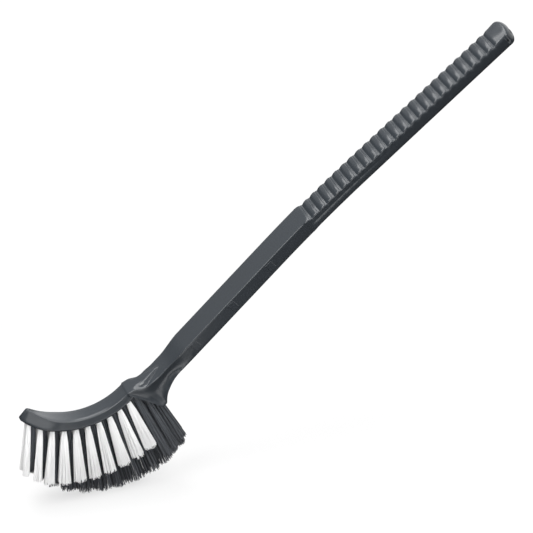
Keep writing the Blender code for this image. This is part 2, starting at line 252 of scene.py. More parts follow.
# Camera
camera_azimuth = math.radians(-19.5)
camera_elevation = math.radians(29.5)
camera_aim = Vector((0.05698, 0.0, 0.04932))
camera_distance = 1.9247
camera_lens = 200.0


def mix(a, b, share):
    return a + (b - a) * share


def eased(value, low, high):
    """0 below low, 1 above high, and a smooth step between them."""
    share = min(1.0, max(0.0, (value - low) / (high - low)))
    return share * share * (3.0 - 2.0 * share)


def spaced(start, end, count):
    """Places at even steps from start, which is left out, to end."""
    return [mix(start, end, i / count) for i in range(1, count + 1)]


def standing():
    return Matrix.Translation(standing_at) @ Matrix.Rotation(-handle_rise, 4, "Y")


# Sections of the moulding. Each is half an outline, from the middle of its top to the middle of its
# underside, as (y, height) pairs: 5 points on top, 6 out to the edge, 9 down the side, 5 round the foot and 3
# beneath.


def quarter(y, v, radius, first, last, count):
    """Points of a fillet round (y, v), with angles in quarter turns."""
    found = []
    for i in range(count):
        angle = math.pi / 2.0 * mix(first, last, i / (count - 1))
        found.append((y + radius * math.cos(angle), v + radius * math.sin(angle)))
    return found


def run(start, end, count, from_start=True):
    """Points evenly spaced on a line. It leaves out the start where from_start is false."""
    first = 0 if from_start else 1
    steps = count - 1 if from_start else count
    found = []
    for i in range(first, steps + 1):
        share = i / steps
        found.append((mix(start[0], end[0], share), mix(start[1], end[1], share)))
    return found


def oblong_half(a, h, edge, foot_edge):
    """A section with flat faces, half a wide and h high over its middle."""
    land = min(land_width / 2.0, a - edge)
    points = run((0.0, h), (land, h), 5)
    points += run((land, h), (a - edge, h), 6, False)
    corner = quarter(a - edge, h - edge, edge, 1.0, 0.0, 5)
    points += corner[1:]
    points += run(corner[-1], (a, 0.0), 5, False)
    points += [(a, -parting_gap), (a, foot_edge - h)]
    points += quarter(a - foot_edge, foot_edge - h, foot_edge, 0.0, -1.0, 4)[1:]
    points += run((a - foot_edge, -h), (0.0, -h), 3, False)
    return points


def bow(points, count):
    """A smooth curve through a few points, as a count of points evenly spaced between them."""
    found = [points[0]]
    padded = [points[0], *points, points[-1]]
    spans = len(points) - 1
    for i in range(1, count):
        place = i * spans / (count - 1)
        k = min(spans - 1, int(place))
        t = place - k
        point = []
        for a, b, c, d in zip(*padded[k : k + 4]):
            second, third = 2 * a - 5 * b + 4 * c - d, 3 * b - a - 3 * c + d
            point.append(0.5 * (2 * b + (c - a) * t + second * t * t + third * t ** 3))
        found.append(tuple(point))
    return found


def crowned_half(a, h):
    """The grip's section at its free end: a narrow flat on top, rounded shoulders and sides."""
    shoulder = [(0.40, 1.0), (0.68, 0.97), (0.91, 0.86)]
    side = [(0.91, 0.86), (0.985, 0.66), (1.0, 0.35), (1.0, -0.05)]
    foot = [(1.0, -0.09), (0.997, -0.45), (0.965, -0.80), (0.88, -1.0)]
    shares = run((0.0, 1.0), (0.40, 1.0), 5)
    shares += bow(shoulder, 7)[1:]
    shares += bow(side, 10)[1:]
    shares += bow(foot, 5)
    shares += run((0.88, -1.0), (0.0, -1.0), 3, False)
    return [(y * a, v * h) for y, v in shares]


def handle_path(s):
    """The middle of the handle at arc length s: its x, its z, and its slope."""
    slope = bend_angle / 2.0
    if s <= bend_start:
        return s * math.cos(slope), s * math.sin(slope), slope
    x, z = bend_start * math.cos(slope), bend_start * math.sin(slope)
    bent = min(s - bend_start, bend_radius * bend_angle)
    turned = slope - bent / bend_radius
    x += bend_radius * (math.sin(slope) - math.sin(turned))
    z += bend_radius * (math.cos(turned) - math.cos(slope))
    rest = s - bend_start - bent
    return x + rest * math.cos(turned), z + rest * math.sin(turned), turned


def across_path(s, y, v):
    x, z, slope = handle_path(s)
    return Vector((x - v * math.sin(slope), y, z + v * math.cos(slope)))


def grip_half(s):
    begun = eased(s, grip_start, grip_start + groove_pitch)
    roundness = mix(grip_crown * begun, 1.0, eased(s, grip_start, handle_length))
    a = shaft_width / 2.0 + grip_step * eased(s, grip_start - 2.0 * grip_step, grip_start)
    h = shaft_height / 2.0
    straight = oblong_half(a, h, mix(shaft_edge, grip_edge, begun), shaft_edge)
    points = []
    for (flat_y, flat_v), (round_y, round_v) in zip(straight, crowned_half(a, h)):
        points.append((mix(flat_y, round_y, roundness), mix(flat_v, round_v, roundness)))
    # The ribs are crowned from side to side
    ribs_end = groove_first + (groove_count - 0.5) * groove_pitch
    crown = rib_crown * begun * (1.0 - eased(s, ribs_end, ribs_end + groove_pitch))
    points = [(y, v - crown * max(v, 0.0) * (y / a) ** 2) for y, v in points]
    # The upper part of the side stands back a little, which leaves a fine line along the side
    back = ledge * begun * (1.0 - eased(s, mix(grip_start, ledge_end, ledge_fade_share), ledge_end))
    return [(y - back, v) if edge_end <= i < side_end else (y, v) for i, (y, v) in enumerate(points)]


def groove_reach(index):
    """How deep a groove is at a point of the section: deepest on top, and next to nothing on the side."""
    edge_depth = groove_depth * groove_edge_share
    if index < top_end:
        return groove_depth
    if index < edge_end:
        return mix(groove_depth, edge_depth, (index - top_end + 1) / (edge_end - top_end))
    if index < lower_end:
        return mix(edge_depth, groove_side_depth, min(1.0, (index - edge_end + 1) / groove_fade_points))
    return 0.0


def in_ribs(s):
    return groove_first - groove_pitch * 0.5 <= s <= groove_first + (groove_count - 0.5) * groove_pitch


# Neck


def lower_face_z(x):
    _, z, _ = handle_path(x)
    return z - shaft_height / 2.0


def heel_back_z(x):
    reach = min(heel_back_x - x, heel_back_radius)
    if reach <= 0.0:
        return lower_face_z(x)
    return lower_face_z(heel_back_x) - heel_back_radius + math.sqrt(heel_back_radius ** 2 - reach ** 2)


def rim_z(x):
    return heel_rim_top_z - (x - heel_rim_x) / math.tan(heel_rim_lean)


def heel_corner_x():
    return heel_rim_x + heel_rim_length * math.sin(heel_rim_lean)


def head_end_x():
    return arc_centre.x + arc_radius * math.sin(arc_overrun)


def head_top_z(x):
    return arc_centre.z - math.sqrt(arc_radius ** 2 - (x - arc_centre.x) ** 2)


def ramp_crest(x, flat):
    """The ramp's ridge. It carries on from the head's upper face, and meets the neck's at the apex."""
    end_x = head_end_x()
    ridge = head_top_z(end_x) - (min(x, ramp_foot_x) - end_x) * math.tan(ramp_fall)
    ridge -= max(0.0, x - ramp_foot_x) * math.tan(ridge_fall)
    blunt = min(1.0, max(0.0, (ramp_apex_x - x) / ridge_nose))
    return flat + max(0.0, ridge - flat) * math.sqrt(blunt * (2.0 - blunt))


def neck_half(x):
    waisted = mix(neck_width, shaft_width, eased(x, neck_narrow_x, neck_full_x))
    a = mix(neck_head_width, waisted, eased(x, heel_rim_x, neck_waist_x)) / 2.0
    flared = mix(heel_rim_top_width, heel_rim_width, eased(x, heel_rim_x, heel_corner_x()))
    b = mix(flared, shaft_width, eased(x, neck_narrow_x, neck_full_x)) / 2.0
    c = neck_edge
    _, path, _ = handle_path(x)
    flat = path + shaft_height / 2.0 - neck_dip * (1.0 - eased(x, neck_narrow_x, neck_full_x))
    # The upper face swells a little beside the ramp
    swell = eased(x, ramp_foot_x - shoulder_lead, ramp_foot_x)
    swell *= 1.0 - eased(x, ramp_foot_x + shoulder_tail, ramp_apex_x - shoulder_end_lead)
    flat += shoulder_rise * swell
    crest = ramp_crest(x, flat)
    low = max(heel_back_z(x), rim_z(x), heel_corner_z)
    # The ramp is as wide as the neck at first. Then it narrows like a prow, with a ridge and steep sides
    prow = eased(x, ramp_foot_x - prow_lead, ramp_foot_x + prow_tail)
    points = []
    along = min(1.0, max(0.0, (ramp_apex_x - x) / (ramp_apex_x - ramp_foot_x)))
    foot = mix(a - c - prow_margin, mix(prow_nose, prow_foot, along), prow)
    roof = roof_share * eased(x, head_end_x(), ramp_foot_x)
    edge = max(mix(crest - roof * (crest - flat), flat, prow), low + 3.0 * c)
    for i in range(9):
        # A ridge that is nearly level across, and a side that runs out into the neck's upper face
        share = 1.0 - (1.0 - i / 8.0) ** prow_crowding
        fall = mix(share * share, eased(share, prow_level, 1.0), prow_steep_share)
        points.append((foot * share, mix(crest, edge, fall)))
    points += run((foot, edge), (a - c, edge), 2, False)
    points += quarter(a - c, edge - c, c, 1.0, 0.0, 5)[1:]
    # The side is hollowed below the upper edge, and flares out to the foot
    round_foot = min(mix(c, heel_edge, heel_roundness(x)), (edge - low) / 4.0)
    top, bottom = edge - c, low + round_foot
    hollow = neck_hollow(x)
    for i in range(1, 8):
        share = i / 7.0
        y = mix(a, b, share ** neck_flare_power) - hollow * math.sin(math.pi * share)
        points.append((y, mix(top, bottom, share)))
    points += quarter(b - round_foot, bottom, round_foot, 0.0, -1.0, 4)[1:]
    points += run((b - round_foot, low), (0.0, low), 3, False)
    return points


def heel_roundness(x):
    """How far the lower edge is rounded off: behind the heel's corner, and less and less up the neck."""
    begun = eased(x, heel_corner_x(), heel_corner_x() + heel_round_run)
    return begun * (1.0 - eased(x, neck_waist_x - heel_round_lead, neck_waist_x + heel_round_run))


def neck_hollow(x):
    """How far the neck's side is hollowed, most where it is narrow."""
    begun = eased(x, heel_corner_x() - hollow_corner_lead, neck_waist_x - hollow_waist_lead)
    ended = eased(x, neck_narrow_x - hollow_narrow_lead, neck_full_x - hollow_end_lead)
    return hollow_depth * begun * (1.0 - ended)


def ring_of(half, place):
    """A closed ring of points in space, from half a section and its mirror image."""
    other = [(-y, v) for y, v in half[-2:0:-1]]
    return [place(y, v) for y, v in [*half, *other]]


def loft_mesh(rings):
    """A closed skin over a row of rings."""
    mesh = bmesh.new()
    rows = [[mesh.verts.new(point) for point in ring] for ring in rings]
    count = len(rows[0])
    for row, after in zip(rows, rows[1:]):
        for i in range(count):
            j = (i + 1) % count
            mesh.faces.new((row[i], row[j], after[j], after[i]))
    mesh.faces.new(rows[0])
    mesh.faces.new(rows[-1])
    bmesh.ops.recalc_face_normals(mesh, faces=mesh.faces)
    return mesh


def placed(name, data):
    made = bpy.data.objects.new(name, data)
    bpy.context.scene.collection.objects.link(made)
    return made


def object_of(name, mesh):
    data = bpy.data.meshes.new(name)
    mesh.to_mesh(data)
    mesh.free()
    return placed(name, data)


def neck_rings():
    # The first section lies inside the head's strip, and the second just under its upper face
    end_x = head_end_x()
    first = neck_half(end_x - join_step)
    middle = (first[0][1] + first[-1][1]) / 2.0
    inner = [(y * join_width_share, middle + (z - middle) * join_height_share) for y, z in first]
    first = [(y, z - join_drop) for y, z in first]
    rings = [ring_of(inner, lambda y, z: Vector((end_x - join_reach, y, z)))]
    rings.append(ring_of(first, lambda y, z: Vector((end_x - join_step, y, z))))
    corner_x = heel_corner_x()
    places = spaced(end_x, corner_x, 14)
    places += spaced(corner_x, ramp_foot_x, 8)
    places += spaced(ramp_foot_x, neck_narrow_x, 26)
    places += spaced(neck_narrow_x, neck_full_x, 12)[:-1]
    for x in places:
        rings.append(ring_of(neck_half(x), lambda y, z, x=x: Vector((x, y, z))))
    return rings


def handle_places():
    """Stations along the shaft and the grip, close together on the ribs."""
    places = [neck_full_x, bend_start / 2.0, bend_start]
    places += spaced(bend_start, grip_start - grip_step, 8)
    places += [grip_start, mix(grip_start, groove_first, 0.3)]
    step = groove_pitch / rib_stations
    steps = groove_count * rib_stations
    places += [groove_first + (i - rib_stations / 2.0) * step for i in range(steps + 1)]
    places += spaced(places[-1], handle_length - end_radius, 4)[:-1]
    return places


def grip_end_rings():
    half = grip_half(handle_length)
    half_width = shaft_width / 2.0 + grip_step
    half_height = shaft_height / 2.0
    rings = []
    for i in range(7):
        angle = i * math.pi / 12.0
        inset = end_radius * (1.0 - math.cos(angle))
        s = handle_length - end_radius + end_radius * math.sin(angle)
        wide, tall = 1.0 - inset / half_width, 1.0 - inset / half_height
        shrunk = [(y * wide, v * tall) for y, v in half]
        rings.append(
            ring_of(shrunk, lambda y, v, s=s: across_path(s - end_dome * (y / half_width) ** 2, y, v))
        )
    return rings


def moulded_handle():
    """Neck, shaft and grip. Each point keeps its place along the handle and how deep a groove is there."""
    rings = neck_rings()
    off_ribs = [(-1.0, 0.0)] * len(rings[0])
    runs = [off_ribs for _ in rings]
    shaft_half = oblong_half(shaft_width / 2.0, shaft_height / 2.0, shaft_edge, shaft_edge)
    depths = [groove_reach(i) for i in range(len(shaft_half))]
    depths += depths[-2:0:-1]
    for s in handle_places():
        half = shaft_half if s < grip_start else grip_half(s)
        rings.append(ring_of(half, lambda y, v, s=s: across_path(s, y, v)))
        runs.append([(s, depth if in_ribs(s) else 0.0) for depth in depths])
    for ring in grip_end_rings():
        rings.append(ring)
        runs.append(off_ribs)
    made = object_of("moulded_handle", loft_mesh(rings))
    along = made.data.attributes.new("along", "FLOAT", "POINT")
    reach = made.data.attributes.new("reach", "FLOAT", "POINT")
    flat = [value for row in runs for value in row]
    along.data.foreach_set("value", [value[0] for value in flat])
    reach.data.foreach_set("value", [value[1] for value in flat])
    return made


def head_point(d, depth, y):
    angle = math.pi * 1.5 - arc_sweep + d / arc_radius
    reach = arc_radius + depth
    return arc_centre + Vector((reach * math.cos(angle), y, reach * math.sin(angle)))


def head_thickness(d):
    share = 1.0 - d / (arc_radius * arc_sweep)
    return mix(head_neck_thickness, head_tip_thickness, max(0.0, share) ** 2)


def head_strip():
    length = arc_radius * (arc_sweep + arc_overrun)
    places = [head_top_taper * (i / 16.0) ** 2 for i in range(17)]
    places += spaced(head_top_taper, length, 30)
    rings = []
    for d in places:
        # Half the widths of the upper face and of the foot. They taper to the free end
        a = max(head_tip_width / 2.0, head_top_width / 2.0 * math.sqrt(min(1.0, d / head_top_taper)))
        b = max(head_tip_width / 2.0, head_foot_width / 2.0 * math.sqrt(min(1.0, d / head_foot_taper)))
        t = head_thickness(d)
        c = min(head_edge, a / 3.0)
        # A fine sunk line runs along the upper face's edge
        line = min(head_line_width, a * 0.1)
        half = run((0.0, 0.0), (a - c - 2.0 * line, 0.0), 4)
        half += [(a - c - line, line * head_line_rise), (a - c, 0.0)]
        half += [(y, -v) for y, v in quarter(a - c, -c, c, 1.0, 0.0, 5)[1:]]
        half += run((a, c), (b, t - c), 4, False)
        half += [(y, t - c - v) for y, v in quarter(b - c, 0.0, c, 0.0, -1.0, 4)[1:]]
        half += run((b - c, t), (0.0, t), 3, False)
        # The free end is rounded off above and below
        near_end = min(d, head_end_round)
        inset = head_end_round - math.sqrt(near_end * (2.0 * head_end_round - near_end))
        half = [(y, inset + depth * (t - 2.0 * inset) / t) for y, depth in half]
        rings.append(ring_of(half, lambda y, depth, d=d: head_point(d, depth, y)))
    return object_of("head_strip", loft_mesh(rings))


def boolean(target, other, operation):
    modifier = target.modifiers.new(other.name, "BOOLEAN")
    modifier.operation = operation
    modifier.object = other
    modifier.solver = "EXACT"


def baked(obj, name):
    """A plain mesh of the object as its modifiers leave it. The object it came from is removed."""
    bpy.context.view_layer.update()
    graph = bpy.context.evaluated_depsgraph_get()
    data = bpy.data.meshes.new_from_object(obj.evaluated_get(graph), depsgraph=graph)
    bpy.data.objects.remove(obj)
    return placed(name, data)


def shade(data):
    """Smooth shading with sharp edges, but for the grip, which is smooth all over."""
    data.shade_smooth()
    data.set_sharp_from_angle(angle=sharp_angle)
    sharp = data.attributes["sharp_edge"].data
    grip_x = handle_path(grip_start)[0]
    for edge in data.edges:
        if data.vertices[edge.vertices[0]].co.x > grip_x:
            sharp[edge.index].value = False


# Tufts


def roof_point(distance):
    across = distance * math.cos(pocket_roof_slope)
    down = distance * math.sin(pocket_roof_slope)
    return Vector((pocket_roof_x + across, 0.0, pocket_roof_z - down))


def column_place(column):
    last = arc_radius * arc_sweep - column_neck_gap
    return mix(column_first, last, column / (white_columns - 1))


def in_heel(column):
    return column >= white_columns


def tuft_axis(side, column):
    """Where a tuft leaves the body, and which way it points."""
    if in_heel(column):
        root = roof_point(heel_column_first + (column - white_columns) * heel_column_pitch)
    else:
        d = column_place(column)
        root = head_point(d, head_thickness(d), 0.0)
    fanned = max(0.0, min(column, white_columns - 1) - fan_first_column)
    heeled = max(0.0, column - white_columns + 1)
    lean = first_lean + fan_step * fanned + heel_fan_step * heeled
    offset = mix(tip_row_offset, row_offset, min(1.0, column / row_full_column))
    splay = row_splay
    if in_heel(column):
        offset, splay = heel_row_offset, 0.0
    root.y = side * offset
    flat = math.cos(splay)
    along = Vector((math.cos(lean) * flat, side * math.sin(splay), math.sin(lean) * flat))
    return root, along


def tuft_length(root, along, column, dark):
    """White tufts have one length, but for the tip's. Dark ones are cut to a round outline."""
    if not dark:
        return white_length - tip_trim * max(0.0, 1.0 - column / fan_first_column)
    radius = dark_trim_radius if root.y == 0.0 else side_trim_radius
    centre = Vector((dark_trim_x, root.y, dark_trim_z))
    flat = Vector((along.x, 0.0, along.z))
    back = root - centre
    b = back.dot(flat) / flat.length_squared
    c = (back.length_squared - radius ** 2) / flat.length_squared
    return -b + math.sqrt(b * b - c)


def tuft_places():
    """Each tuft's row, number, side, column and whether it is dark."""
    columns = white_columns + heel_columns
    found = []
    for side, row, count, staggered in (
        (-1.0, "near", columns, 0.0),
        (0.0, "middle", columns - 1, 0.5),
        (1.0, "far", columns, 0.0),
    ):
        for k in range(count):
            dark = side == 0.0 or k >= white_columns
            found.append((row, k, side, k + staggered, dark))
    return found


def hole_rods(places):
    mesh = bmesh.new()
    for _, _, side, column, _ in places:
        root, along = tuft_axis(side, column)
        d = min(column_place(column), arc_radius * arc_sweep)
        depth = min(hole_depth, head_thickness(d) - hole_roof)
        turn = along.to_track_quat("Z", "Y").to_matrix().to_4x4()
        middle = root + along * (hole_radius + rod_overrun - depth) / 2.0
        rod = bmesh.ops.create_cone(
            mesh,
            cap_ends=True,
            segments=20,
            radius1=hole_radius,
            radius2=hole_radius,
            depth=depth + hole_radius + rod_overrun,
        )
        bmesh.ops.transform(mesh, matrix=Matrix.Translation(middle) @ turn, verts=rod["verts"])
    return object_of("hole_rods", mesh)


def pocket_block():
    forward = Vector((-math.cos(heel_rim_lean), 0.0, -math.sin(heel_rim_lean))) * pocket_forward
    rim_start = Vector((heel_rim_x, 0.0, heel_rim_top_z))
    back_foot = Vector((pocket_back_x, 0.0, heel_corner_z - pocket_overrun))
    outline = [roof_point(0.0), roof_point(pocket_roof_length)]
    outline += [back_foot, back_foot + forward, rim_start + forward]
    rings = []
    for side in (-1.0, 1.0):
        aside = Vector((0.0, side * pocket_width / 2.0, 0.0))
        rings.append([point + aside for point in outline])
    return object_of("pocket_block", loft_mesh(rings))


def pad_blocks():
    joined = bmesh.new()
    for k in range(pad_count):
        x, z, slope = handle_path(pad_first + k * pad_pitch)
        top = shaft_height / 2.0 - pad_gap_above
        low = pad_gap_below - shaft_height / 2.0
        for side in (-1.0, 1.0):
            box = bmesh.new()
            bmesh.ops.create_cube(box, size=1.0)
            bmesh.ops.scale(box, vec=(pad_length, pad_proud + pad_sunk, top - low), verts=box.verts)
            middle = (0.0, (pad_proud - pad_sunk) / 2.0, (top + low) / 2.0)
            bmesh.ops.translate(box, vec=middle, verts=box.verts)
            # The two lower corners are round, and the face's edges are taken off
            lower = [e for e in box.edges if all(v.co.z < 0.0 for v in e.verts)]
            lower = [e for e in lower if abs(e.verts[0].co.y - e.verts[1].co.y) > pad_proud]
            bmesh.ops.bevel(box, geom=lower, offset=pad_corner, segments=5, affect="EDGES", profile=0.5)
            front = [e for e in box.edges if all(v.co.y > 0.0 for v in e.verts)]
            bmesh.ops.bevel(box, geom=front, offset=pad_proud * 0.5, segments=1, affect="EDGES", profile=0.5)
            turn = Matrix.Translation((x, side * (shaft_width - pad_proud) / 2.0, z))
            turn = turn @ Matrix.Rotation(-slope, 4, "Y")
            if side < 0.0:
                turn = turn @ Matrix.Diagonal((1.0, -1.0, 1.0, 1.0))
            box.transform(turn)
            bmesh.ops.recalc_face_normals(box, faces=box.faces)
            data = bpy.data.meshes.new("pad")
            box.to_mesh(data)
            box.free()
            joined.from_mesh(data)
            bpy.data.meshes.remove(data)
    return object_of("pad_blocks", joined)


# Trees of nodes


class Tree:
    """Adds nodes to a tree, and links them where an input is given a socket."""

    def __init__(self, tree):
        self.tree = tree

    def add(self, kind, values=(), out=0, **settings):
        node = self.tree.nodes.new(kind)
        for name, value in settings.items():
            setattr(node, name, value)
        for key, value in dict(values).items():
            if isinstance(value, bpy.types.NodeSocket):
                self.tree.links.new(value, node.inputs[key])
            else:
                node.inputs[key].default_value = value
        return node.outputs[out]

    def maths(self, operation, a, b=0.0, c=0.0):
        return self.add("ShaderNodeMath", {0: a, 1: b, 2: c}, operation=operation)

    def vector(self, operation, a, b=(0.0, 0.0, 0.0), scale=1.0, out=0):
        values = {0: a, 1: b}
        if operation == "SCALE":
            values = {0: a, 3: scale}
        return self.add("ShaderNodeVectorMath", values, out, operation=operation)

    def fade(self, value, reach, results):
        """Goes smoothly from the first result to the second while the value crosses the reach."""
        values = {"Value": value, 1: reach[0], 2: reach[1], 3: results[0], 4: results[1]}
        return self.add("ShaderNodeMapRange", values, interpolation_type="SMOOTHSTEP")


def geometry_tree(name, inputs):
    tree = bpy.data.node_groups.new(name, "GeometryNodeTree")
    tree.interface.new_socket("Geometry", in_out="INPUT", socket_type="NodeSocketGeometry")
    for label, kind, value in inputs:
        socket = tree.interface.new_socket(label, in_out="INPUT", socket_type="NodeSocket" + kind)
        if value is not None:
            socket.default_value = value
    tree.interface.new_socket("Geometry", in_out="OUTPUT", socket_type="NodeSocketGeometry")
    return tree


def use_tree(obj, tree, values):
    """Adds the tree as a modifier and sets its named inputs."""
    modifier = obj.modifiers.new(tree.name, "NODES")
    modifier.node_group = tree
    named = {item.name: item.identifier for item in tree.interface.items_tree if item.in_out == "INPUT"}
    for label, value in values.items():
        modifier[named[label]] = value


def rib_tree():
    """Presses the grooves between the grip's ribs into its surface, along the normal."""
    inputs = [
        ("First", "Float", 0.0),
        ("Pitch", "Float", 0.01),
        ("Lean", "Float", 1.0),
        ("Material", "Material", None),
    ]
    tree = geometry_tree("grip_ribs", inputs)
    t = Tree(tree)
    given = tree.nodes.new("NodeGroupInput").outputs
    along = t.add("GeometryNodeInputNamedAttribute", {"Name": "along"}, data_type="FLOAT")
    reach = t.add("GeometryNodeInputNamedAttribute", {"Name": "reach"}, data_type="FLOAT")
    place = t.maths("DIVIDE", t.maths("SUBTRACT", along, given["First"]), given["Pitch"])
    # The crest stands nearer the free end than the middle of the pitch
    place = t.maths("POWER", t.maths("FRACT", t.maths("ADD", place, 1.0)), given["Lean"])
    away = t.maths("ABSOLUTE", t.maths("MULTIPLY_ADD", place, 2.0, -1.0))
    low = t.maths("POWER", away, rib_roundness)
    # A fine line beyond the crest
    line = t.maths("DIVIDE", t.maths("SUBTRACT", place, rib_line_place), rib_line_width)
    line = t.maths("MAXIMUM", t.maths("SUBTRACT", 1.0, t.maths("ABSOLUTE", line)), 0.0)
    low = t.maths("MULTIPLY_ADD", line, rib_line_depth, low)
    sunk = t.maths("MULTIPLY", low, reach)
    normal = t.add("GeometryNodeInputNormal")
    offset = t.vector("SCALE", normal, scale=t.maths("MULTIPLY", sunk, -1.0))
    moved = t.add("GeometryNodeSetPosition", {"Geometry": given["Geometry"], "Offset": offset})
    real = t.add("GeometryNodeRealizeInstances", {0: moved})
    done = t.add("GeometryNodeSetMaterial", {"Geometry": real, "Material": given["Material"]})
    out = tree.nodes.new("NodeGroupOutput")
    tree.links.new(done, out.inputs[0])
    return tree


def bristle_tree():
    """Grows a tuft on each point of a mesh, which carries the tuft's axis, length and spread."""
    inputs = [
        ("Bristles", "Int", 100),
        ("Segments", "Int", 4),
        ("Sides", "Int", 5),
        ("Radius", "Float", 0.0002),
        ("Root Radius", "Float", 0.0016),
        ("Unevenness", "Float", 0.0008),
        ("Stray", "Float", 0.3),
        ("Widening", "Float", 1.0),
        ("Seed", "Int", 1),
        ("Material", "Material", None),
    ]
    tree = geometry_tree("bristle_tufts", inputs)
    t = Tree(tree)
    given = tree.nodes.new("NodeGroupInput").outputs

    def stored(name, kind="FLOAT"):
        return t.add("GeometryNodeInputNamedAttribute", {"Name": name}, data_type=kind)

    def keep(geometry, name, value, kind="FLOAT", domain="POINT"):
        return t.add(
            "GeometryNodeStoreNamedAttribute",
            {"Geometry": geometry, "Name": name, "Value": value},
            data_type=kind,
            domain=domain,
        )

    def chance(low, high, extra):
        values = {"Min": low, "Max": high, "ID": t.add("GeometryNodeInputIndex")}
        values["Seed"] = t.maths("ADD", given["Seed"], extra)
        node = tree.nodes.new("FunctionNodeRandomValue")
        node.data_type = "FLOAT"
        for key, item in values.items():
            socket = [s for s in node.inputs if s.name == key and s.enabled][0]
            if isinstance(item, bpy.types.NodeSocket):
                tree.links.new(item, socket)
            else:
                socket.default_value = item
        return [s for s in node.outputs if s.enabled][0]

    copies = tree.nodes.new("GeometryNodeDuplicateElements")
    copies.domain = "POINT"
    tree.links.new(given["Geometry"], copies.inputs["Geometry"])
    tree.links.new(given["Bristles"], copies.inputs["Amount"])
    number = copies.outputs["Duplicate Index"]
    # A bristle's place in its tuft: how far out, and which way
    filled = t.maths("DIVIDE", t.maths("ADD", number, 0.5), given["Bristles"])
    points = keep(copies.outputs["Geometry"], "outward", t.maths("POWER", filled, bristle_crowding))
    turn = t.maths("MULTIPLY", number, golden_turn)
    turn = t.maths("ADD", turn, chance(-turn_jitter, turn_jitter, 11))
    points = keep(points, "turn", turn)
    points = keep(points, "shade", chance(0.0, 1.0, 23))
    points = keep(points, "cut", chance(*cut_range, 37))
    points = keep(points, "stray", t.maths("POWER", chance(0.0, 1.0, 41), stray_power))
    points = keep(points, "lean", chance(-1.0, 1.0, 53))
    points = keep(points, "root", t.add("GeometryNodeInputPosition"), "FLOAT_VECTOR")

    line = t.add("GeometryNodeCurvePrimitiveLine", {"End": (0.0, 0.0, 1.0)})
    count = t.maths("ADD", given["Segments"], 1.0)
    line = t.add("GeometryNodeResampleCurve", {"Curve": line, "Count": count})
    many = t.add("GeometryNodeInstanceOnPoints", {"Points": points, "Instance": line})
    curves = t.add("GeometryNodeRealizeInstances", {0: many})

    share = t.add("GeometryNodeSplineParameter")
    along = stored("along", "FLOAT_VECTOR")
    across = stored("across", "FLOAT_VECTOR")
    third = t.vector("CROSS_PRODUCT", along, across)
    angle = stored("turn")
    outward = t.vector(
        "ADD",
        t.vector("SCALE", across, scale=t.maths("MULTIPLY", t.maths("COSINE", angle), given["Widening"])),
        t.vector("SCALE", third, scale=t.maths("SINE", angle)),
    )
    sideways = t.vector(
        "ADD",
        t.vector("SCALE", across, scale=t.maths("MULTIPLY", t.maths("SINE", angle), -1.0)),
        t.vector("SCALE", third, scale=t.maths("COSINE", angle)),
    )
    near = t.maths("MULTIPLY", stored("outward"), given["Root Radius"])
    wide = t.maths("ADD", 1.0, t.maths("MULTIPLY", stored("stray"), given["Stray"]))
    far = t.maths("MULTIPLY", t.maths("MULTIPLY", stored("outward"), stored("spread")), wide)
    # The bristles leave their hole bunched, open out at once, and then run straight
    opening = t.fade(share, opening_reach, (0.0, opening_share))
    opened = t.maths("MULTIPLY_ADD", share, 1.0 - opening_share, opening)
    radial = t.add("ShaderNodeMix", {"Factor": opened, "A": near, "B": far}, data_type="FLOAT")
    length = t.maths("ADD", stored("free_length"), t.maths("MULTIPLY", stored("cut"), given["Unevenness"]))
    reach = t.maths("MULTIPLY_ADD", share, t.maths("ADD", length, root_depth), -root_depth)
    swing = t.maths("MULTIPLY", stored("lean"), bristle_swing)
    swing = t.maths("MULTIPLY", t.maths("MULTIPLY", share, share), swing)
    place = t.vector("ADD", stored("root", "FLOAT_VECTOR"), t.vector("SCALE", along, scale=reach))
    place = t.vector("ADD", place, t.vector("SCALE", outward, scale=radial))
    place = t.vector("ADD", place, t.vector("SCALE", sideways, scale=swing))
    # The lowest bristles bend where they touch the floor
    parts = tree.nodes.new("ShaderNodeSeparateXYZ")
    tree.links.new(place, parts.inputs[0])
    above = t.maths("MAXIMUM", parts.outputs[2], given["Radius"])
    place = t.add("ShaderNodeCombineXYZ", {0: parts.outputs[0], 1: parts.outputs[1], 2: above})
    shaped = t.add("GeometryNodeSetPosition", {"Geometry": curves, "Position": place})
    shaped = keep(shaped, "reach_share", share)
    circle = {"Resolution": given["Sides"], "Radius": given["Radius"]}
    ring = t.add("GeometryNodeCurvePrimitiveCircle", circle)
    tubes = t.add("GeometryNodeCurveToMesh", {"Curve": shaped, "Profile Curve": ring, "Fill Caps": True})
    smooth = t.add("GeometryNodeSetShadeSmooth", {"Geometry": tubes})
    real = t.add("GeometryNodeRealizeInstances", {0: smooth})
    done = t.add("GeometryNodeSetMaterial", {"Geometry": real, "Material": given["Material"]})
    out = tree.nodes.new("NodeGroupOutput")
    tree.links.new(done, out.inputs[0])
    return tree


